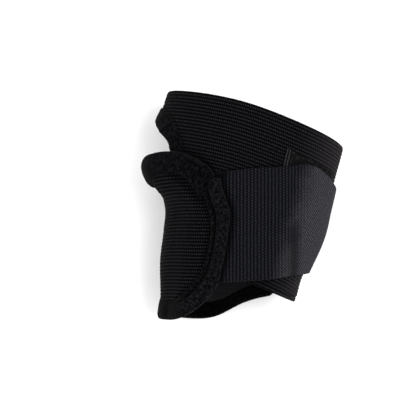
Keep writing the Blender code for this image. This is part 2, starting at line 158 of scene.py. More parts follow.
# From the little-finger seam along the palm's forearm edge, round the thumb side, up the flap's free edge.
RIM_INNER = (
    (0.0, 328.0, -26.5), (0.08, 300.0, -34.0), (0.19, 260.0, -44.0), (0.31, 215.0, -49.0),
    (0.4, 180.0, -49.0), (0.5, 150.0, -48.4), (0.6, 133.0, -42.5), (0.68, 121.0, -32.0),
    (0.77, 117.4, -22.0), (0.87, 119.6, -9.0), (0.95, 122.4, 1.0), (1.0, 122.0, 11.0),
)
RIM_OUTER = (
    (0.0, 328.0, -34.0), (0.08, 300.0, -41.6), (0.19, 260.0, -51.8), (0.31, 215.0, -57.4),
    (0.4, 180.0, -59.2), (0.5, 141.0, -56.0), (0.6, 118.0, -46.6), (0.68, 104.2, -36.2),
    (0.77, 102.4, -22.0), (0.87, 105.0, -6.6), (0.95, 104.8, 5.8), (1.0, 108.4, 14.4),
)
PALM_EDGE_INNER = (
    (0.0, 238.5, 34.0), (0.2, 250.0, 36.5), (0.6, 290.0, 36.5), (1.0, 328.0, 34.5),
)
PALM_EDGE_OUTER = (
    (0.0, 238.5, 39.0), (0.2, 250.0, 41.3), (0.6, 290.0, 41.3), (1.0, 328.0, 39.3),
)

# ---------------------------------------------------------------- cloth

RIB_PITCH = 1.65
RIB_DEPTH = 0.24
WALE_PITCH = 1.65
FLAP_ELASTIC_END = 204.0
PALM_START = 198.0
FLAP_ELASTIC_SHARE = 0.24
RIB_BEND_SHARE = 0.6
RIB_DROP = (2.2, 4.4)
FLAP_WIDTH = 40.0
FLAP_SPAN = 65.0
PADDED_SHARES = (0.07, 0.84)
PADDED_ENDS = 0.03
TUCK = 1.2
TAPE_OVERLAP = 0.8
STAY_CLEARANCE = 0.55
GROOVE = -0.5
NOSE_RISE = 2.2
CORNER_RISE = 0.2
VIEW_TURN = 16.0
STRAP_BRUSHED = (77.0, 62.0)
STRAP_SLANT = 0.3
STRAP_PATCHES = 9.0
STRAP_CREASE = 57.0
SIMULATION_SCALE = 100.0
SIMULATION_FRAMES = 20
PAD_PRESSURE = 4.0
# Painted light from the shade map's second channel: how much it brightens the cloth, and the warmer faded
# grey it mixes in.
PAINTED_LIGHT_GAIN = 1.6
WORN_LIT_GREY = (0.0092, 0.0078, 0.0080)
WORN_LIT_SHARE = 0.4


def smooth(table, at):
    """Smooth curve through a table whose first column is the position; one row per position asked."""
    rows = np.array(table, float)
    positions, values = rows[:, 0], rows[:, 1:]
    slopes = np.gradient(values, positions, axis=0)
    at = np.clip(np.atleast_1d(np.asarray(at, float)), positions[0], positions[-1])
    i = np.clip(np.searchsorted(positions, at, side="right") - 1, 0, len(positions) - 2)
    step = (positions[i + 1] - positions[i])[:, None]
    t = (at - positions[i])[:, None] / step
    return (
        (2 * t**3 - 3 * t**2 + 1) * values[i]
        + (t**3 - 2 * t**2 + t) * step * slopes[i]
        + (3 * t**2 - 2 * t**3) * values[i + 1]
        + (t**3 - t**2) * step * slopes[i + 1]
    )


def ease(value, start, end):
    """0 before start, 1 after end, smooth between; start may be the larger."""
    t = np.clip((np.asarray(value, float) - start) / (end - start), 0.0, 1.0)
    return t * t * (3 - 2 * t)


def skin(angle, along):
    """Points in mm on the hand, in the hand's own frame."""
    turn = np.radians(angle)
    section = smooth(HAND_SECTIONS, along)
    middle = (section[:, 0] + section[:, 1]) / 2
    half_width = (section[:, 1] - section[:, 0]) / 2
    on_back = np.sin(turn) >= 0
    half_height = np.where(on_back, section[:, 2] - WIDEST_Z, WIDEST_Z - PALM_Z)
    power = np.where(on_back, BACK_ROUNDNESS, PALM_ROUNDNESS)
    across = np.abs(np.cos(turn) / half_width) ** power
    upright = np.abs(np.sin(turn) / half_height) ** power
    reach = (across + upright) ** (-1 / power)
    return np.stack([middle + reach * np.cos(turn), along, WIDEST_Z + reach * np.sin(turn)], axis=1)


def form(angle, along, lift):
    """Points in metres at a lift off the form, in the part's frame, and the outward directions."""
    small = 0.05
    angle = np.asarray(angle, float)
    along = np.asarray(along, float)
    round_hand = skin(angle + small, along) - skin(angle - small, along)
    along_hand = skin(angle, along + small) - skin(angle, along - small)
    outward = np.cross(along_hand, round_hand)
    outward /= np.linalg.norm(outward, axis=1)[:, None]
    lifts = np.broadcast_to(np.asarray(lift, float), angle.shape)
    points = skin(angle, along) + outward * lifts[:, None]
    return (points - np.array([CENTRE_X, CENTRE_Y, 0.0])) * MM, outward


def length_along(angle, along, start=-50.0, steps=16):
    """Distance over the skin in mm from a start line towards the fingers, at constant angles."""
    total, previous = 0.0, skin(angle, np.full(along.shape, start))
    for step in range(1, steps + 1):
        here = skin(angle, start + (along - start) * step / steps)
        total = total + np.linalg.norm(here - previous, axis=1)
        previous = here
    return np.where(along < start, along - start, total)


def flap_rise(angle, along):
    """How far the flap is lifted by the strap, or by the back panel beside the thumb hole."""
    over_strap = FLAP_RISE * ease(angle, *FLAP_RISE_ANGLES)
    over_back = HOLE_RISE * ease(along, *HOLE_RISE_ALONG) * ease(angle, *HOLE_RISE_ANGLES)
    return over_strap + over_back * (1 - over_strap / FLAP_RISE)


def ripple(points, length, seed):
    """Gentle unevenness of hand-sewn fabric, from -1 to 1, as a sum of a few seeded waves; points in mm."""
    draw = np.random.default_rng(seed)
    total = np.zeros(len(points))
    for octave in range(5):
        way = draw.normal(size=3)
        way /= np.linalg.norm(way)
        reach = length * draw.uniform(0.6, 1.5)
        total += np.sin(2 * math.pi * (points @ way) / reach + draw.uniform(0, 2 * math.pi))
    return total / 5


# ---------------------------------------------------------------- meshes


def new_piece(name, points, faces, texture, shade=None):
    """A mesh object with two maps: the thread directions in mm, and the cloth's painted shade and painted
    light.
    """
    mesh = bpy.data.meshes.new(name)
    mesh.from_pydata(points.tolist(), [], faces)
    corners = np.empty(len(mesh.loops), np.int32)
    mesh.loops.foreach_get("vertex_index", corners)
    shade = np.zeros((len(points), 2)) if shade is None else shade
    for map_name, values in (("Cloth", texture), ("Shade", shade)):
        layer = mesh.uv_layers.new(name=map_name)
        layer.data.foreach_set("uv", values[corners].astype(np.float32).ravel())
    mesh.shade_smooth()
    if signed_volume(mesh) < 0:
        mesh.flip_normals()
    piece = bpy.data.objects.new(name, mesh)
    bpy.context.scene.collection.objects.link(piece)
    return piece


def signed_volume(mesh):
    """Six times the volume of a closed mesh, negative where its faces point inwards."""
    mesh.calc_loop_triangles()
    corners = np.empty(len(mesh.loop_triangles) * 3, np.int32)
    mesh.loop_triangles.foreach_get("vertices", corners)
    flat = np.empty(len(mesh.vertices) * 3)
    mesh.vertices.foreach_get("co", flat)
    a, b, c = flat.reshape(-1, 3)[corners.reshape(-1, 3).T]
    return float(np.sum(a * np.cross(b, c)))


def grid_faces(columns, rows, first=0, turned=False):
    """Quads of a grid with columns x rows cells, whose points run along the rows first."""
    i, j = np.meshgrid(np.arange(columns), np.arange(rows), indexing="ij")
    a = (first + i * (rows + 1) + j).ravel()
    quads = np.stack([a, a + rows + 1, a + rows + 2, a + 1], axis=1)
    return (quads[:, ::-1] if turned else quads).tolist()


def rim_faces(columns, rows, second):
    """Quads that close the gap between two grids round their four edges."""
    loop = [i * (rows + 1) for i in range(columns)]
    loop += [columns * (rows + 1) + j for j in range(rows)]
    loop += [i * (rows + 1) + rows for i in range(columns, 0, -1)]
    loop += list(range(rows, 0, -1))
    return [(second + a, second + b, b, a) for a, b in zip(loop, loop[1:] + loop[:1])]


def arc_lengths(points, axis):
    """Distance in mm along one axis of a grid of points."""
    steps = np.linalg.norm(np.diff(points, axis=axis), axis=2) / MM
    start = np.zeros_like(np.take(steps, [0], axis=axis))
    return np.cumsum(np.concatenate([start, steps], axis=axis), axis=axis)


def on_form(place, lift):
    """A surface for cloth_panel: place(u, v) gives angles and distances, lift their height off the skin."""

    def surface(u, v):
        angle, along = place(u, v)
        points, outward = form(angle, along, lift(angle, along) if callable(lift) else lift)
        return points, outward, angle, along

    return surface


def panel_shares(columns, rows):
    """The shares along and across a panel at each of its points."""
    return np.meshgrid(np.linspace(0, 1, columns + 1), np.linspace(0, 1, rows + 1), indexing="ij")


def border(u, v, width):
    return (np.minimum(u, 1 - u) < width) | (np.minimum(v, 1 - v) < width)


def cloth_panel(name, columns, rows, surface, thickness, relief=None, chart=None, edge=0.8, shade=None):
    """A sheet with rounded edges, which meets a surface with its inner face. relief raises its outer face, in
    mm. chart gives the thread directions, in mm, and shade the painted shade and painted light on the cloth.
    All get the sheet's spots: u, v, angle, along, sideways and upright in the view, and the distances s and t
    from its first column and row."""
    u, v = (side.ravel() for side in panel_shares(columns, rows))
    base, outward, angle, along = surface(u, v)
    middle = base + outward * (thickness / 2 * MM)
    grid = middle.reshape(columns + 1, rows + 1, 3)
    s, t = arc_lengths(grid, 0), arc_lengths(grid, 1)
    length_along(angle, along)
    to_side = np.minimum(s, s[-1:] - s)
    to_end = np.minimum(t, t[:, -1:] - t)
    near = np.clip(np.minimum(to_side, to_end) / edge, 0, 1).ravel()
    half = thickness / 2 * np.maximum(np.sqrt(1 - (1 - near) ** 2), 0.25)
    turn = math.radians(VIEW_TURN)
    sideways = (middle[:, 0] * math.cos(turn) + middle[:, 1] * math.sin(turn)) / MM
    upright = (middle[:, 1] * math.cos(turn) - middle[:, 0] * math.sin(turn)) / MM
    spots = SimpleNamespace(u=u, v=v, angle=angle, along=along, s=s.ravel(), t=t.ravel())
    spots.sideways, spots.upright = sideways, upright
    spots.shape = (columns + 1, rows + 1)
    raised = near * relief(spots) if relief else 0.0
    outer = middle + outward * ((half + raised) * MM)[:, None]
    inner = middle - outward * (half * MM)[:, None]
    faces = grid_faces(columns, rows) + grid_faces(columns, rows, len(outer), True)
    faces += rim_faces(columns, rows, len(outer))
    weave = np.stack(chart(spots) if chart else (spots.s, spots.t), axis=1)
    tones = np.stack(shade(spots), axis=1) if shade else np.zeros((len(outer), 2))
    points = np.concatenate([outer, inner])
    return new_piece(name, points, faces, np.tile(weave, (2, 1)), np.tile(tones, (2, 1)))


def swell(piece, shape, sewn, cap=0.9):
    """Fill a pad by cloth simulation: pressure raises its outer face between the sewn points, by at most the
    cap in mm. The pad is simulated a hundred times larger, because the solver is made for cloth of metres.
    The result is the rise of each point of the outer face, in mm, in the shape of the pad's grid."""
    count = shape[0] * shape[1]
    scene = bpy.context.scene
    mesh = piece.data.copy()
    flat = np.empty(len(mesh.vertices) * 3)
    mesh.vertices.foreach_get("co", flat)
    rest = flat.reshape(-1, 3).copy()
    mesh.vertices.foreach_set("co", (rest * SIMULATION_SCALE).ravel())
    copy = bpy.data.objects.new("pad_simulation", mesh)
    scene.collection.objects.link(copy)
    held = np.concatenate([sewn.ravel(), np.ones(count, bool)])
    copy.vertex_groups.new(name="sewn").add(np.nonzero(held)[0].tolist(), 1.0, "REPLACE")
    cloth = copy.modifiers.new("swell", "CLOTH")
    cloth.settings.vertex_group_mass = "sewn"
    cloth.settings.use_pressure = True
    cloth.settings.uniform_pressure_force = PAD_PRESSURE
    cloth.settings.effector_weights.gravity = 0
    cloth.collision_settings.use_collision = False
    for frame_number in range(SIMULATION_FRAMES + 1):
        scene.frame_set(frame_number)
    swollen = copy.evaluated_get(bpy.context.evaluated_depsgraph_get()).data
    swollen.vertices.foreach_get("co", flat)
    moved = flat.reshape(-1, 3) / SIMULATION_SCALE - rest
    scene.frame_set(1)
    bpy.data.objects.remove(copy)
    bpy.data.meshes.remove(mesh)
    thick = rest[:count] - rest[count:]
    outward = thick / np.linalg.norm(thick, axis=1)[:, None]
    rise = np.clip((moved[:count] * outward).sum(axis=1) / MM, 0, None)
    rise = cap * rise / max(rise.max(), cap)
    placed = np.concatenate([rest[:count] + outward * (rise * MM)[:, None], rest[count:]])
    piece.data.vertices.foreach_set("co", placed.ravel())
    piece.data.update()
    return rise.reshape(shape)


def sample(grid, u, v):
    """Values of a grid at places from 0 to 1 along its two sides, straight between its points."""
    columns, rows = grid.shape[0] - 1, grid.shape[1] - 1
    i = np.clip((u * columns).astype(int), 0, columns - 1)
    j = np.clip((v * rows).astype(int), 0, rows - 1)
    a, b = np.clip(u * columns - i, 0, 1), np.clip(v * rows - j, 0, 1)
    low = grid[i, j] * (1 - b) + grid[i, j + 1] * b
    high = grid[i + 1, j] * (1 - b) + grid[i + 1, j + 1] * b
    return low * (1 - a) + high * a


def tube_faces(rings, sides):
    """Quads of a tube of rings, and the two faces that close its ends."""
    faces = []
    for i in range(rings - 1):
        for j in range(sides):
            a, b = i * sides + j, i * sides + (j + 1) % sides
            faces.append((a, b, b + sides, a + sides))
    faces.append(tuple(range(sides))[::-1])
    faces.append(tuple(range((rings - 1) * sides, rings * sides)))
    return faces


def roll(name, inner, outer, steps, lift, height, puff, grooved=(2.0, 3.0), tapers=(3.0, 3.0), shade=None):
    """A tape rolled over an edge, from its inner to its outer line, with tapered ends. Its section is round
    up to the first of the grooved shares and grooved from the second. shade adds painted shade by place."""
    share = np.linspace(0, 1, steps + 1)
    near, far = smooth(inner, share), smooth(outer, share)
    plain, cut = np.array(round_profile()), np.array(grooved_profile())
    amount = ease(share, *grooved)[:, None, None]
    section = plain[None] * (1 - amount) + cut[None] * amount
    sides = len(plain)
    across = form(*far.T, 0)[0] - form(*near.T, 0)[0]
    width = np.linalg.norm(across, axis=1) / MM
    centre = form(*((near + far) / 2).T, height / 2)[0]
    run = np.concatenate([[0], np.cumsum(np.linalg.norm(np.diff(centre, axis=0), axis=1))]) / MM
    ends = np.clip(np.minimum(run / tapers[0], (run[-1] - run) / tapers[1]), 0, 1)
    squeeze = np.maximum(np.sqrt(1 - (1 - ends) ** 2), 0.3)[:, None]
    reach = (section[:, :, 0] * squeeze + 1) / 2
    extra = (TAPE_OVERLAP / width)[:, None]
    reach = reach * (1 + extra) - extra
    spot = near[:, None, :] + (far - near)[:, None, :] * reach[:, :, None]
    angle, along = spot[..., 0].ravel(), spot[..., 1].ravel()
    tall = height * (0.5 + (section[:, :, 1] - 0.5) * squeeze).ravel()
    points, outward = form(angle, along, lift(angle, along) + tall)
    s = np.repeat(run, sides)
    around = np.linalg.norm(np.diff(plain * [4.0, height], axis=0), axis=1)
    t = np.tile(np.concatenate([[0], np.cumsum(around)]), steps + 1)
    top = np.clip(tall / height, 0, 1)
    points = points + outward * (puff(s, t, points / MM) * top * MM)[:, None]
    # Painted shade in the stitched groove and on the tape's underside.
    in_groove = np.exp(-(((section[:, :, 0] - GROOVE) / 0.15) ** 2)) * amount[:, :, 0]
    dark = np.maximum(0.85 * in_groove.ravel(), 0.6 * ease(top, 0.4, 0.0))
    if shade:
        dark = np.maximum(dark, shade(angle, along))
    shade = np.stack([dark, np.zeros(dark.shape)], axis=1)
    return new_piece(name, points, tube_faces(steps + 1, sides), np.stack([s, t], axis=1), shade)


def round_profile(sides=48, power=3.0):
    """Closed section from -1 to 1 across and 0 to 1 in height, like a soft tube pressed flat below."""
    result = []
    for step in range(sides):
        turn = 2 * math.pi * step / sides
        across, up = math.cos(turn), math.sin(turn)
        across = math.copysign(abs(across) ** (2 / power), across)
        up = math.copysign(abs(up) ** (2 / power), up)
        result.append((across, 0.5 + 0.5 * up))
    return result


def grooved_profile(half_width=0.13, depth=0.45, strip_height=0.74):
    """Round section with a low strip on its inner side and a stitched groove beside it."""
    result = []
    for across, up in round_profile():
        if up > 0.5:
            on_strip = float(ease(across, GROOVE + half_width, GROOVE - half_width))
            up = min(up, 1 - (1 - strip_height) * on_strip)
            up -= depth * math.exp(-(((across - GROOVE) / half_width) ** 2))
        result.append((across, up))
    return result


def stitch_row(name, line, outward, count, length=1.9, radius=0.2, sink=0.12):
    """Sewn thread along a line of points: each stitch is a short bowed capsule."""
    rings, sides = 7, 6
    run = np.concatenate([[0], np.cumsum(np.linalg.norm(np.diff(line, axis=0), axis=1))])

    def along_line(values, at):
        return np.stack([np.interp(at, run, values[:, k]) for k in range(3)], axis=-1)

    centres = (np.arange(count) + 0.5) / count * run[-1]
    across = np.linspace(-1, 1, rings)
    at = (centres[:, None] + across * length / 2 * MM).ravel()
    here, up = along_line(line, at), along_line(outward, at)
    way = along_line(line, at + 0.2 * MM) - along_line(line, at - 0.2 * MM)
    side = np.cross(way, up)
    side /= np.linalg.norm(side, axis=1)[:, None] + 1e-12
    thick = np.tile(radius * np.sqrt(np.maximum(1 - across**4, 0.04)), count)
    sunk = np.tile(sink * 2 * across**2, count)
    turn = np.linspace(0, 2 * math.pi, sides, endpoint=False)
    offset = side[:, None] * (np.cos(turn) * thick[:, None])[..., None]
    offset = offset + up[:, None] * (np.sin(turn) * thick[:, None] - sunk[:, None])[..., None]
    points = (here[:, None] + offset * MM).reshape(-1, 3)
    faces = []
    for stitch in range(count):
        first = stitch * rings * sides
        faces += [tuple(first + corner for corner in face) for face in tube_faces(rings, sides)]
    return new_piece(name, points, faces, np.zeros((len(points), 2)))


# ---------------------------------------------------------------- materials


def node(tree, kind, inputs=None, **settings):
    """A shader node, with its settings and with inputs that are values or other nodes' outputs."""
    made = tree.nodes.new(kind)
    for key, value in settings.items():
        setattr(made, key, value)
    for key, value in (inputs or {}).items():
        if isinstance(value, bpy.types.NodeSocket):
            tree.links.new(value, made.inputs[key])
        else:
            made.inputs[key].default_value = value
    return made


def calc(tree, operation, first, second=0.0, third=0.0):
    return node(tree, "ShaderNodeMath", {0: first, 1: second, 2: third}, operation=operation).outputs[0]


def times(tree, a, b):
    return calc(tree, "MULTIPLY", a, b)


def scaled(tree, value, factor, offset):
    return calc(tree, "MULTIPLY_ADD", value, factor, offset)


def wave(tree, coordinate, pitch):
    """0 to 1 to 0 once each pitch along a coordinate in mm."""
    turned = times(tree, coordinate, 2 * math.pi / pitch)
    return scaled(tree, calc(tree, "COSINE", turned), 0.5, 0.5)


def noise(tree, vector, scale, detail=2.0, roughness=0.5):
    settings = {"Vector": vector, "Scale": scale, "Detail": detail, "Roughness": roughness}
    return node(tree, "ShaderNodeTexNoise", settings).outputs["Fac"]


def span(tree, value, low, high):
    """0 at low, 1 at high, smooth between; low may be the larger."""
    settings = {"Value": value, "From Min": low, "From Max": high}
    return node(tree, "ShaderNodeMapRange", settings, interpolation_type="SMOOTHSTEP").outputs[0]


def mix_colour(tree, amount, first, second):
    colours = [c if isinstance(c, bpy.types.NodeSocket) else (*c, 1.0) for c in (first, second)]
    return node(tree, "ShaderNodeMix", {0: amount, 6: colours[0], 7: colours[1]}, data_type="RGBA").outputs[2]


def mix_value(tree, amount, first, second):
    return node(tree, "ShaderNodeMix", {0: amount, 2: first, 3: second}, data_type="FLOAT").outputs[0]


def new_material(name, roughness, sheen=0.0, specular=0.2, metallic=0.0):
    made = bpy.data.materials.new(name)
    made.use_nodes = True
    tree = made.node_tree
    shader = tree.nodes["Principled BSDF"]
    values = {"Roughness": roughness, "Metallic": metallic, "Specular IOR Level": specular}
    for socket, value in (values | {"Sheen Weight": sheen, "Sheen Roughness": 0.5}).items():
        shader.inputs[socket].default_value = value
    return made, tree, shader


def cloth_axes(tree):
    """The thread coordinates of a piece, in mm: both together, then along and across."""
    chart = node(tree, "ShaderNodeUVMap", uv_map="Cloth").outputs[0]
    parts = node(tree, "ShaderNodeSeparateXYZ", {0: chart})
    return chart, parts.outputs[0], parts.outputs[1]


def finish_surface(tree, shader, height, colour, depth):
    """Connect a material's relief and its colour, which the piece's shade map darkens as painted shade and
    lightens as painted light, with a warmer faded tone.
    """
    bump = node(tree, "ShaderNodeBump", {"Height": height, "Strength": 1.0, "Distance": depth * MM})
    tree.links.new(bump.outputs[0], shader.inputs["Normal"])
    shade = node(tree, "ShaderNodeUVMap", uv_map="Shade").outputs[0]
    parts = node(tree, "ShaderNodeSeparateXYZ", {0: shade})
    # Painted shade from the first channel; painted light with a warmer faded grey from the second.
    kept = calc(tree, "SUBTRACT", 1.0, parts.outputs[0])
    amount = times(tree, scaled(tree, parts.outputs[1], PAINTED_LIGHT_GAIN, 1.0), kept)
    worn_and_lit = mix_colour(tree, times(tree, parts.outputs[1], WORN_LIT_SHARE), colour, WORN_LIT_GREY)
    toned = node(tree, "ShaderNodeVectorMath", {0: worn_and_lit, 3: amount}, operation="SCALE").outputs[0]
    tree.links.new(toned, shader.inputs["Base Color"])


def ribbed_elastic(name, dark, light, loop=1.15):
    """Ribbed elastic: raised cords with small knit loops along each, offset from cord to cord."""
    made, tree, shader = new_material(name, 0.9, sheen=0.01, specular=0.015)
    chart, along, across = cloth_axes(tree)
    rib = calc(tree, "POWER", wave(tree, across, RIB_PITCH), 1.9)
    row = calc(tree, "FLOOR", scaled(tree, across, 1 / RIB_PITCH, 0.5))
    loops = calc(tree, "POWER", wave(tree, scaled(tree, row, loop / 2, along), loop), 1.4)
    fibre = noise(tree, chart, 1.3, 4.0, 0.8)
    patches = noise(tree, chart, 0.09, 3.0)
    dotted = span(tree, patches, 0.05, 0.35)
    knit = mix_value(tree, dotted, 0.55, scaled(tree, loops, 0.92, 0.08))
    shaped = times(tree, rib, knit)
    height = scaled(tree, fibre, 0.35, shaped)
    # Painted highlight on the rib tops and their knit loops, broken up by fibre noise; the valleys keep the
    # dark colour.
    lit = times(tree, shaped, span(tree, fibre, 0.2, 0.85))
    finish_surface(tree, shader, height, mix_colour(tree, lit, dark, light), 0.3)
    return made


def binding_tape(name, dark, light):
    """Soft napped tape: fibres and fine cross cords."""
    made, tree, shader = new_material(name, 0.95, sheen=0.02, specular=0.01)
    chart, along, _ = cloth_axes(tree)
    nap = noise(tree, chart, 0.75, 4.0, 0.8)
    coarse = noise(tree, chart, 0.3, 3.0)
    cords = wave(tree, along, 0.9)
    height = scaled(tree, cords, 0.15, scaled(tree, coarse, 0.6, nap))
    tone = times(tree, span(tree, nap, 0.42, 0.64), scaled(tree, coarse, 1.4, 0.1))
    finish_surface(tree, shader, height, mix_colour(tree, tone, dark, light), 0.45)
    return made


def loop_strap(name):
    """Loop-faced strap: wales across it, brushed where it turns round the little-finger side, and lighter
    there from wear and from painted light; painted shade in its crease.
    """
    made, tree, shader = new_material(name, 0.92, sheen=0.02, specular=0.015)
    chart, along, across = cloth_axes(tree)
    drift = noise(tree, chart, 0.3, 2.0)
    bent = scaled(tree, drift, 0.5, along)
    wales = wave(tree, bent, WALE_PITCH)
    row = calc(tree, "FLOOR", scaled(tree, bent, 1 / WALE_PITCH, 0.5))
    loops = wave(tree, scaled(tree, row, 0.6, across), 1.3)
    slant = calc(tree, "SUBTRACT", times(tree, across, 0.6), times(tree, along, 0.8))
    twill = wave(tree, slant, 1.05)
    fuzz = span(tree, noise(tree, chart, 1.2, 5.0, 0.85), 0.25, 0.75)
    patches = noise(tree, chart, 0.12, 3.0)
    blurred = scaled(tree, patches, STRAP_PATCHES, along)
    slanted = scaled(tree, across, STRAP_SLANT, blurred)
    brushed = span(tree, slanted, *STRAP_BRUSHED)
    columns = calc(tree, "POWER", wales, 1.3)
    dots = times(tree, columns, scaled(tree, loops, 0.7, 0.3))
    pressed = scaled(tree, wales, 0.15, times(tree, twill, 0.85))
    relief = mix_value(tree, brushed, dots, pressed)
    height = scaled(tree, fuzz, 0.5, relief)
    specks = times(tree, scaled(tree, relief, 0.95, 0.05), scaled(tree, fuzz, 1.5, 0.05))
    plain = mix_colour(tree, specks, (0.0010, 0.0011, 0.0017), (0.0195, 0.0198, 0.0255))
    # The brushed colour is lighter from wear and from painted light on the side turned to the lamp.
    worn_and_lit = mix_colour(tree, specks, (0.0030, 0.0030, 0.0040), (0.0590, 0.0577, 0.0672))
    # Painted shade in the strap's crease, on its lower half.
    fold = span(tree, calc(tree, "ABSOLUTE", calc(tree, "SUBTRACT", bent, STRAP_CREASE)), 5.0, 0.0)
    low_half = span(tree, across, 34.0, 20.0)
    shade = times(tree, times(tree, fold, low_half), 0.75)
    colour = mix_colour(tree, shade, mix_colour(tree, brushed, plain, worn_and_lit), (0.0045, 0.0045, 0.0055))
    finish_surface(tree, shader, height, colour, 0.25)
    return made


def hook_tape(name):
    """Hook tape: dense small hooks on a woven ground."""
    made, tree, shader = new_material(name, 0.7, sheen=0.0, specular=0.05)
    chart, _, _ = cloth_axes(tree)
    cells = node(tree, "ShaderNodeTexVoronoi", {"Vector": chart, "Scale": 1.0, "Randomness": 0.7})
    tops = calc(tree, "MAXIMUM", scaled(tree, cells.outputs["Distance"], -2.4, 1.15), 0.0)
    patches = span(tree, noise(tree, chart, 0.35, 3.0), 0.38, 0.62)
    lit = times(tree, tops, patches)
    tone = mix_colour(tree, lit, (0.0008, 0.0008, 0.001), (0.032, 0.032, 0.036))
    finish_surface(tree, shader, tops, tone, 0.4)
    return made


def woven(name, dark, light, pitch, sheen=0.04, depth=0.2):
    """Plain weave of two thread directions."""
    made, tree, shader = new_material(name, 0.88, sheen=sheen, specular=0.08)
    chart, along, across = cloth_axes(tree)
    checks = times(tree, wave(tree, along, 2 * pitch), wave(tree, across, 2 * pitch))
    warp = times(tree, wave(tree, along, pitch), checks)
    threads = calc(tree, "MAXIMUM", warp, times(tree, wave(tree, across, pitch), 0.7))
    fibre = noise(tree, chart, 2.5, 4.0, 0.7)
    height = scaled(tree, fibre, 0.3, threads)
    colour = mix_colour(tree, times(tree, threads, fibre), dark, light)
    finish_surface(tree, shader, height, colour, depth)
    return made


def thread(name, dark, light):
    made, tree, shader = new_material(name, 0.6, sheen=0.03, specular=0.15)
    place = node(tree, "ShaderNodeTexCoord").outputs["Object"]
    twist = noise(tree, place, 2600.0, 2.0)
    finish_surface(tree, shader, twist, mix_colour(tree, twist, dark, light), 0.06)
    return made


def brushed_metal(name):
    """Rolled aluminium: fine brushing along the stay."""
    made, tree, shader = new_material(name, 0.35, specular=0.5, metallic=1.0)
    place = node(tree, "ShaderNodeTexCoord").outputs["Object"]
    stretched = node(tree, "ShaderNodeMapping", {"Vector": place, "Scale": (3500.0, 60.0, 3500.0)}).outputs[0]
    lines = noise(tree, stretched, 1.0, 3.0, 0.6)
    tree.links.new(scaled(tree, lines, 0.25, 0.25), shader.inputs["Roughness"])
    finish_surface(tree, shader, lines, mix_colour(tree, lines, (0.4, 0.4, 0.42), (0.56, 0.56, 0.58)), 0.02)
    return made


# ---------------------------------------------------------------- places and threads on the form


def between(first_angle, last_angle, low_edge, high_edge):
    def place(u, v):
        angle = first_angle + (last_angle - first_angle) * u
        low, high = smooth(low_edge, angle)[:, 0], smooth(high_edge, angle)[:, 0]
        return angle, low + (high - low) * v

    return place


def flap_place(u, v):
    """The flap's area from its bound edge (u = 1) to its fold (u = 0)."""
    edge = smooth(FLAP_EDGE, v)
    low, high = PALM_WRIST_EDGE[0][1], PALM_FINGER_EDGE[0][1]
    fold = low + (high - low) * v
    return FOLD + (edge[:, 0] - FOLD) * u, fold + (edge[:, 1] - fold) * u


def wrapped_flap_place(u, v):
    """The flap's area and the strip of the palm beside its fold."""
    palm_u = np.clip(1 - u / FLAP_ELASTIC_SHARE, 0, 1)
    palm_side = between(FOLD, FLAP_ELASTIC_END, PALM_WRIST_EDGE, PALM_FINGER_EDGE)(palm_u, v)
    flap_side = flap_place(np.clip((u - FLAP_ELASTIC_SHARE) / (1 - FLAP_ELASTIC_SHARE), 0, 1), v)
    return tuple(np.where(u < FLAP_ELASTIC_SHARE, a, b) for a, b in zip(palm_side, flap_side))


def strap_place(u, v):
    start, low_end, high_end = STRAP_ANGLES
    angle = start + (low_end + (high_end - low_end) * v - start) * u
    low, high = smooth(STRAP_WRIST_EDGE, angle)[:, 0], smooth(STRAP_FINGER_EDGE, angle)[:, 0]
    return angle, low + (high - low) * v


def keeper_place(u, v):
    angle = KEEPER_ANGLES[0] + (KEEPER_ANGLES[1] - KEEPER_ANGLES[0]) * u
    top = KEEPER_FINGER_EDGE[0] + (KEEPER_FINGER_EDGE[1] - KEEPER_FINGER_EDGE[0]) * u
    return angle, top - KEEPER_DEPTH * (1 - v)


def back_chart(spots):
    """The back panel's ribs run beside its finger edge."""
    return spots.s, smooth(BACK_FINGER_EDGE, spots.angle)[:, 0] - spots.along


def flap_chart(spots):
    """The flap's ribs run straight across and bend down to the fold, most beside the thumb hole."""
    from_fold = (FOLD - spots.angle) / FLAP_SPAN
    bend = 1 - np.clip(from_fold / RIB_BEND_SHARE, 0, 1)
    drop = RIB_DROP[0] + (RIB_DROP[1] - RIB_DROP[0]) * ease(spots.along, -22.0, 6.0)
    return FLAP_WIDTH * from_fold, spots.upright + drop * bend**2


def strap_chart(spots):
    """The strap's wales run straight up on the back of the hand, and straight across it at the side."""
    middle = spots.shape[1] // 2
    run = spots.s.reshape(spots.shape)[:, middle]
    sideways = spots.sideways.reshape(spots.shape)
    slope = np.clip(np.gradient(run) / np.gradient(sideways[:, middle]), -2.2, 0.0)
    from_middle = sideways - sideways[:, middle : middle + 1]
    shift = slope[:, None] * from_middle
    return (run[:, None] + shift * ease(spots.angle, 6.0, 36.0).reshape(spots.shape)).ravel(), spots.t


def ribs(chart):
    def relief(spots):
        return RIB_DEPTH * (0.5 + 0.5 * np.cos(2 * math.pi * chart(spots)[1] / RIB_PITCH)) ** 0.8

    return relief


def ripple_relief(depth, length, seed):
    return lambda spots: depth * ripple(np.stack([spots.s, spots.t, 0 * spots.s], axis=1), length, seed)


def line_along(inner_to_outer, first, last, angle):
    """Distance along the hand of a tape's line at given angles; the line's angle rises with its share."""
    line = smooth(inner_to_outer, np.linspace(first, last, 200))
    return np.interp(angle, line[:, 0], line[:, 1])


def near_edge(distance, reach):
    """1 at an edge, 0 beyond its reach and behind it, for distances in mm."""
    return ease(distance, reach, 0.0) * ease(distance, -1.5, 0.0)


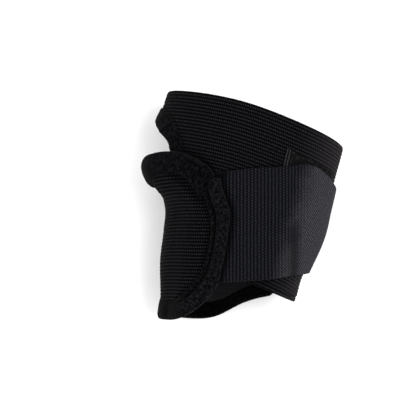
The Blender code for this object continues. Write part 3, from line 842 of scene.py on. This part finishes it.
def back_shade(spots):
    """The back panel gets painted shade beside its neighbours and at its hem, and painted light, with a
    warmer faded tone, at the little-finger side.
    """
    saddle = spots.along - line_along(HOLE_OUTER, 0.0, 0.36, spots.angle)
    saddle = 0.75 * near_edge(saddle, 3.5) * ease(spots.angle, 100.0, 112.0) * ease(spots.angle, 164.0, 156.0)
    above = spots.along - smooth(STRAP_FINGER_EDGE, spots.angle)[:, 0]
    below = smooth(STRAP_WRIST_EDGE, spots.angle)[:, 0] - spots.along
    strap = 0.6 * np.maximum(near_edge(above, 1.4), near_edge(below, 2.2)) * ease(spots.angle, 116.0, 108.0)
    hem = 0.5 * np.exp(-(((spots.t - 2.3) / 0.5) ** 2))
    return np.maximum(np.maximum(saddle, strap), hem), ease(spots.angle, 52.0, 6.0)


def strap_shade(spots):
    """The strap gets painted shade where the flap's rim lies on it and along its two edges."""
    line = smooth(RIM_OUTER, np.linspace(0.52, 1.0, 200))
    rim_angle = np.interp(spots.along, line[:, 1], line[:, 0])
    rim = 0.8 * ease(spots.angle, rim_angle - 9.0, rim_angle - 0.5)
    width = spots.t.reshape(spots.shape)
    to_edge = np.minimum(width, width[:, -1:] - width).ravel()
    return np.maximum(rim, 0.35 * ease(to_edge, 0.9, 0.2)), 0.0 * spots.u


def flap_shade(spots):
    """The flap gets painted shade where it tucks under its tapes, and painted light along the thumb side."""
    on_flap = (spots.u - FLAP_ELASTIC_SHARE) / (1 - FLAP_ELASTIC_SHARE)
    under_rim = 0.55 * ease(on_flap, 0.84, 0.93)
    under_saddle = 0.6 * ease(spots.v, 0.9, 0.96) * ease(on_flap, 0.1, 0.3)
    return np.maximum(under_rim, under_saddle), 0.45 * ease(spots.angle, 160.0, 180.0)


def tape_puff(depth, seed):
    """Soft unevenness and small puckers along a tape."""

    def puff(s, t, points):
        puckers = 0.15 * depth * np.sin(2 * math.pi * s / 2.9) * (1 + ripple(points, 11.0, seed + 1))
        return depth * ripple(points, 5.5, seed) + puckers

    return puff


# ---------------------------------------------------------------- pieces


def dress(piece, material, slot_name, *cad_nodes):
    """Give a piece its material, and hide the CAD solids that it stands for. The slot name is not used."""
    piece.data.materials.append(material)
    if cad_nodes:
        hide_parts(*cad_nodes)
    return piece


def blend_flap(piece):
    """Bake a flap piece's placement into its mesh."""
    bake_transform(piece)


def make_back(m):
    def lift(angle, along):
        hem = along - smooth(BACK_WRIST_EDGE, angle)[:, 0]
        flare = 1.2 * ease(hem, 13.0, 0.0) * ease(angle, -30.0, 0.0) * ease(angle, 70.0, 40.0)
        return 0.5 + flare

    area = between(SEAM_ANGLE - 360 + 0.4, 237.6, BACK_WRIST_EDGE, BACK_FINGER_EDGE)

    def relief(spots):
        hem = -0.4 * np.exp(-(((spots.t - 2.3) / 0.35) ** 2))
        clear = 0.45 + 0.55 * ease(spots.angle, 60.0, 25.0)
        return ribs(back_chart)(spots) * clear * ease(spots.t, 1.6, 3.0) + hem

    surface = on_form(area, lift)
    back = cloth_panel("back_elastic", 190, 236, surface, 1.4, relief, back_chart, 0.7, back_shade)
    dress(back, m["band"], "ribbed_elastic", "back_panel")

    def web_lift(angle, along):
        return 0.1 + 0.8 * np.exp(-(((angle - 174) / 9) ** 2)) * ease(along, 37.0, 31.0)

    def web_puff(s, t, points):
        folds = np.maximum(np.sin(2 * math.pi * s / 6.1), 0) ** 2
        return 0.25 * ripple(points, 6.0, 3) + 0.45 * folds * ease(s, 45.0, 25.0)

    web = roll("web_tape", WEB_INNER, WEB_OUTER, 150, web_lift, 2.9, web_puff, tapers=(1.0, 3.0))
    dress(web, m["shaded_binding"], "binding_tape", "web_binding")
    hook_relief = ripple_relief(0.12, 2.0, 11)
    keeper = cloth_panel("keeper_hooks", 70, 60, on_form(keeper_place, 2.0), 0.9, hook_relief, edge=0.5)
    dress(keeper, m["hook"], "hook_tape", "keeper_hook_patch")
    pieces = [back, web, keeper]
    share = np.linspace(0, 1, 200)
    for number, at in enumerate((0.985, 0.93)):
        line = form(*keeper_place(np.full(share.shape, at), share), 3.05)
        sewn = stitch_row(f"keeper_stitches_{number}", *line, 15, 1.75, 0.13, 0.05)
        pieces.append(dress(sewn, m["pale_thread"], "hook_tape"))
    for piece in pieces:
        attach(piece, "root")


def make_strap(m):
    def lift(angle, along):
        over_keeper = ease(angle, 70.0, 56.0) * ease(angle, 2.0, 16.0)
        return 2.2 + 1.2 * over_keeper

    def relief(spots):
        chart, across = strap_chart(spots)
        crease = -0.5 * np.exp(-(((chart - STRAP_CREASE) / 3.5) ** 2))
        ribbed = ease(chart + STRAP_SLANT * across + STRAP_PATCHES / 2, *STRAP_BRUSHED[::-1])
        wales = 0.08 * np.cos(2 * math.pi * chart / WALE_PITCH) * ribbed
        return crease + ripple_relief(0.2, 20.0, 5)(spots) + wales

    strap = cloth_panel("wrap_strap", 330, 70, on_form(strap_place, lift), 1.8, relief, strap_chart, 0.6,
                        strap_shade)
    dress(strap, m["loop"], "loop_strap", "strap_web", "strap_anchor", "strap_end_hem")

    share = np.linspace(0.03, 0.97, 200)
    hem = stitch_row("strap_hem_stitches", *form(*strap_place(np.full(share.shape, 0.955), share), 4.2), 26)
    dress(hem, m["thread"], "loop_strap")
    for piece in (strap, hem):
        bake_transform(piece)


def make_flap(m):
    def above(layer):
        return lambda angle, along: layer + flap_rise(angle, along)

    def padded_place(u, v):
        first, last = PADDED_SHARES
        return flap_place(first + (last - first) * u, PADDED_ENDS + (1 - 2 * PADDED_ENDS) * v)

    columns, rows = 48, 72
    pad_surface = on_form(padded_place, above(1.25))
    foam = cloth_panel("flap_padding", columns, rows, pad_surface, 1.5, ripple_relief(0.1, 9.0, 8))
    dress(foam, m["foam"], "foam", "flap_foam")
    u, v = panel_shares(columns, rows)
    bulge = swell(foam, u.shape, border(u, v, 0.05))

    def shell_surface(u, v):
        angle, along = wrapped_flap_place(u, v)
        on_flap = (u - FLAP_ELASTIC_SHARE) / (1 - FLAP_ELASTIC_SHARE)
        tuck = TUCK * ease(on_flap, 0.84, 0.93)
        first, last = PADDED_SHARES
        on_pad = np.clip((v - PADDED_ENDS) / (1 - 2 * PADDED_ENDS), 0, 1)
        swollen = sample(bulge, np.clip((on_flap - first) / (last - first), 0, 1), on_pad)
        lift = above(2.9)(angle, along) + swollen - tuck
        return *form(angle, along, lift), angle, along

    shell = cloth_panel("flap_elastic", 120, 190, shell_surface, 1.0, ribs(flap_chart), flap_chart, 0.5,
                        flap_shade)
    dress(shell, m["ribbed"], "ribbed_elastic", "flap_shell")
    inside = on_form(flap_place, above(0.3))
    lining = cloth_panel("flap_inside", 50, 80, inside, 0.7, ripple_relief(0.05, 5.0, 9))
    dress(lining, m["lining"], "lining", "flap_lining")

    def hook_place(u, v):
        return flap_place(0.66 + 0.33 * u, 0.28 + 0.52 * v)

    hooks = cloth_panel("flap_hooks", 40, 90, on_form(hook_place, above(-0.25)), 0.6, edge=0.4)
    dress(hooks, m["hook"], "hook_tape", "flap_hook_patch")

    def rim_lift(angle, along):
        lapped = 1.1 * ease(along, 1.0, 9.0) * ease(angle, 150.0, 135.0)
        round_fold = ease(angle, 150.0, 178.0) * ease(angle, 222.0, 192.0)
        corner = CORNER_RISE * ease(along, -50.0, -57.0) * round_fold
        over_stay = STAY_CLEARANCE * ease(angle, 225.0, 245.0)
        return flap_rise(angle, along) + 0.1 + lapped + corner - over_stay

    # Painted shade on the rim tape's corner at the bottom of the flap.
    def corner_shade(angle, along):
        return 0.8 * ease(along, -36.0, -48.0) * ease(angle, 130.0, 148.0)

    rim = roll("rim_tape", RIM_INNER, RIM_OUTER, 420, rim_lift, 4.5, tape_puff(0.16, 21), (0.5, 0.62),
               (3.0, 1.4), corner_shade)
    dress(rim, m["binding"], "binding_tape", "flap_edge_binding", "cuff_binding")

    def hole_lift(angle, along):
        nose = NOSE_RISE * ease(angle, 156.0, 178.0) * ease(angle, 214.0, 192.0) * ease(along, 1.0, 7.0)
        return flap_rise(angle, along) + 0.1 + nose

    hole = roll("hole_tape", HOLE_INNER, HOLE_OUTER, 240, hole_lift, 4.4, tape_puff(0.16, 41))
    dress(hole, m["shaded_binding"], "binding_tape", "saddle_binding", "thumb_binding")

    at = np.linspace(0.54, 0.97, 300)
    near, far = smooth(RIM_INNER, at), smooth(RIM_OUTER, at)
    angle, along = (near + (far - near) * (GROOVE + 1) / 2).T
    sewn = stitch_row("rim_stitches", *form(angle, along, rim_lift(angle, along) + 2.1), 38, radius=0.17)
    dress(sewn, m["thread"], "binding_tape")
    for piece in (shell, foam, lining, hooks, rim, hole, sewn):
        blend_flap(piece)


def make_palm(m):
    area = between(PALM_START, SEAM_ANGLE, PALM_WRIST_EDGE, PALM_FINGER_EDGE)
    columns, rows = 72, 60
    foam = cloth_panel("palm_padding", columns, rows, on_form(area, 1.2), 1.9)
    dress(foam, m["foam"], "foam", "palm_foam")
    u, v = panel_shares(columns, rows)
    angle, _ = area(u.ravel(), v.ravel())
    across = skin(angle, np.zeros(angle.shape))[:, 0].reshape(u.shape)
    under_pocket = (np.abs(across - POCKET_X) < POCKET_WIDTH / 2 + 1.5) & (angle.reshape(u.shape) > 200)
    channels = np.abs((v * 4) % 1 - 0.5) > 0.46
    bulge = swell(foam, u.shape, under_pocket | channels | border(u, v, 0.03))

    def shell_surface(u, v):
        angle, along = area(u, v)
        lift = 3.2 + sample(bulge, u, v)
        return *form(angle, along, lift), angle, along

    shell = cloth_panel("palm_fabric_shell", 130, 110, shell_surface, 1.0)
    dress(shell, m["palm"], "palm_fabric", "palm_shell")
    lining_area = between(FOLD, SEAM_ANGLE, PALM_WRIST_EDGE, PALM_FINGER_EDGE)
    lining = cloth_panel("palm_inside", 100, 80, on_form(lining_area, 0.3), 0.8)
    dress(lining, m["lining"], "lining", "palm_lining")
    edge = roll("palm_edge_tape", PALM_EDGE_INNER, PALM_EDGE_OUTER, 120, lambda a, b: 0 * a + 0.2, 4.2,
                tape_puff(0.14, 31))
    dress(edge, m["binding"], "binding_tape", "palm_edge_binding")

    def seam(u, v):
        return SEAM_ANGLE + 3.0 * (2 * u - 1), -24.0 + 56.0 * v

    tape = cloth_panel("seam_tape", 16, 90, on_form(seam, 4.5), 1.0)
    dress(tape, m["binding"], "binding_tape", "palm_seam_tape")
    for piece in (shell, foam, lining, edge, tape):
        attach(piece, "root")


def pocket_surface(u, v):
    """Under the palm: the cover's upper face, which hangs lower where the stay lies above it."""
    x = POCKET_X + POCKET_WIDTH * (0.5 - u)
    y = POCKET_ENDS[0] + (POCKET_ENDS[1] - POCKET_ENDS[0]) * v
    beside = ease(np.abs(x - POCKET_X), *STAY_ROOM)
    beyond = ease(y, *STAY_ROOM_END)
    z = POCKET_COVER + (POCKET_FLANGE_Z - POCKET_THICKNESS + 0.8 - POCKET_COVER) * np.maximum(beside, beyond)
    points = np.stack([x - CENTRE_X, y - CENTRE_Y, z], axis=1) * MM
    return points, np.tile([0.0, 0.0, -1.0], (len(x), 1)), np.full(x.shape, 270.0), y


def make_pocket(m):
    def hem(spots):
        return 0.05 * ease(spots.t, 5.0, 4.2) - 0.1 * np.exp(-(((spots.t - 4.6) / 0.4) ** 2))

    cover = cloth_panel("pocket_cover", 68, 144, pocket_surface, POCKET_THICKNESS, hem)
    dress(cover, m["palm"], "palm_fabric", "stay_pocket")
    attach(cover, "root")
    share = np.linspace(0.01, 0.99, 300)
    rows = {"left": (0 * share + 0.06, share, 38), "right": (0 * share + 0.94, share, 38)}
    rows |= {"end": (share, 0 * share + 0.965, 17), "mouth": (share, 0 * share + 0.065, 17)}
    for side, (u, v, count) in rows.items():
        line, outward, _, _ = pocket_surface(u, v)
        line = line + outward * (POCKET_THICKNESS - POCKET_STITCH_SINK) * MM
        sewn = stitch_row(f"pocket_stitches_{side}", line, outward, count)
        dress(sewn, m["thread"], "palm_fabric")
        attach(sewn, "root")


def repaint(name, material):
    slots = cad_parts[name].data.materials
    slots.clear()
    slots.append(material)


# ---------------------------------------------------------------- studio


def add_light(name, place, size, power):
    data = bpy.data.lights.new(name, "AREA")
    data.shape = "SQUARE"
    data.size = size
    data.energy = power
    lamp = bpy.data.objects.new(name, data)
    lamp.location = place
    lamp.rotation_euler = (Vector((0, 0, 0.03)) - Vector(place)).to_track_quat("-Z", "Y").to_euler()
    bpy.context.scene.collection.objects.link(lamp)


def make_studio():
    """A pale floor, two soft lights and a camera straight above."""
    half = 3.0
    corners = [(-half, -half, 0), (half, -half, 0), (half, half, 0), (-half, half, 0)]
    mesh = bpy.data.meshes.new("floor")
    mesh.from_pydata(corners, [], [(0, 1, 2, 3)])
    floor = bpy.data.objects.new("floor", mesh)
    floor.location.z = cad_box[0][2] - 0.0004
    bpy.context.scene.collection.objects.link(floor)
    paper, _, shader = new_material("pale_floor", 0.9, specular=0.1)
    shader.inputs["Base Color"].default_value = (0.94, 0.94, 0.94, 1)
    mesh.materials.append(paper)

    world = bpy.data.worlds.new("studio")
    world.use_nodes = True
    background = world.node_tree.nodes["Background"]
    background.inputs["Color"].default_value = (1, 1, 1, 1)
    background.inputs["Strength"].default_value = 1.1
    bpy.context.scene.world = world
    add_light("key_light", (0.5, 0.25, 1.1), 0.7, 9.0)
    add_light("fill_light", (-0.7, 0.0, 1.1), 1.0, 4.0)

    lens = bpy.data.cameras.new("camera")
    lens.sensor_width = 36.0
    distance, view_width = 0.95, 0.190
    lens.lens = lens.sensor_width * distance / view_width
    camera = bpy.data.objects.new("camera", lens)
    camera.location = ((-21.6 - CENTRE_X) * MM, (1.19 - CENTRE_Y) * MM, 0.045 + distance)
    camera.rotation_euler = (0, 0, math.radians(VIEW_TURN))
    bpy.context.scene.collection.objects.link(camera)
    bpy.context.scene.camera = camera
    bpy.context.scene.view_settings.view_transform = "Standard"


def make_materials():
    return {
        "ribbed": ribbed_elastic("flap_elastic_cloth", (0.0003, 0.0003, 0.0006), (0.04, 0.039, 0.045)),
        "band": ribbed_elastic("band_elastic_cloth", (0.0006, 0.0006, 0.0009), (0.042, 0.0402, 0.046)),
        "binding": binding_tape("binding_tape_cloth", (0.0004, 0.0004, 0.0007), (0.0104, 0.0102, 0.012)),
        # Painted shade: a darker copy of the binding tape's material, for the thumb-hole and web tapes.
        "shaded_binding": binding_tape("shaded_binding_cloth", (0.0002, 0.0002, 0.0005), (0.0058, 0.0058, 0.007)),
        "loop": loop_strap("loop_strap_cloth"),
        "hook": hook_tape("hook_tape_cloth"),
        "palm": woven("palm_cloth", (0.003, 0.003, 0.0038), (0.018, 0.018, 0.021), 0.9),
        "lining": woven("lining_cloth", (0.004, 0.004, 0.005), (0.016, 0.016, 0.018), 0.7),
        "foam": woven("foam_core", (0.006, 0.006, 0.007), (0.02, 0.02, 0.022), 1.3),
        "thread": thread("dark_thread", (0.002, 0.002, 0.0026), (0.012, 0.012, 0.014)),
        "pale_thread": thread("pale_thread", (0.02, 0.02, 0.022), (0.05, 0.05, 0.054)),
        "metal": brushed_metal("stay_metal"),
    }


materials = make_materials()
make_studio()
make_back(materials)
make_strap(materials)
make_flap(materials)
make_palm(materials)
make_pocket(materials)
repaint("palm_stay", materials["metal"])
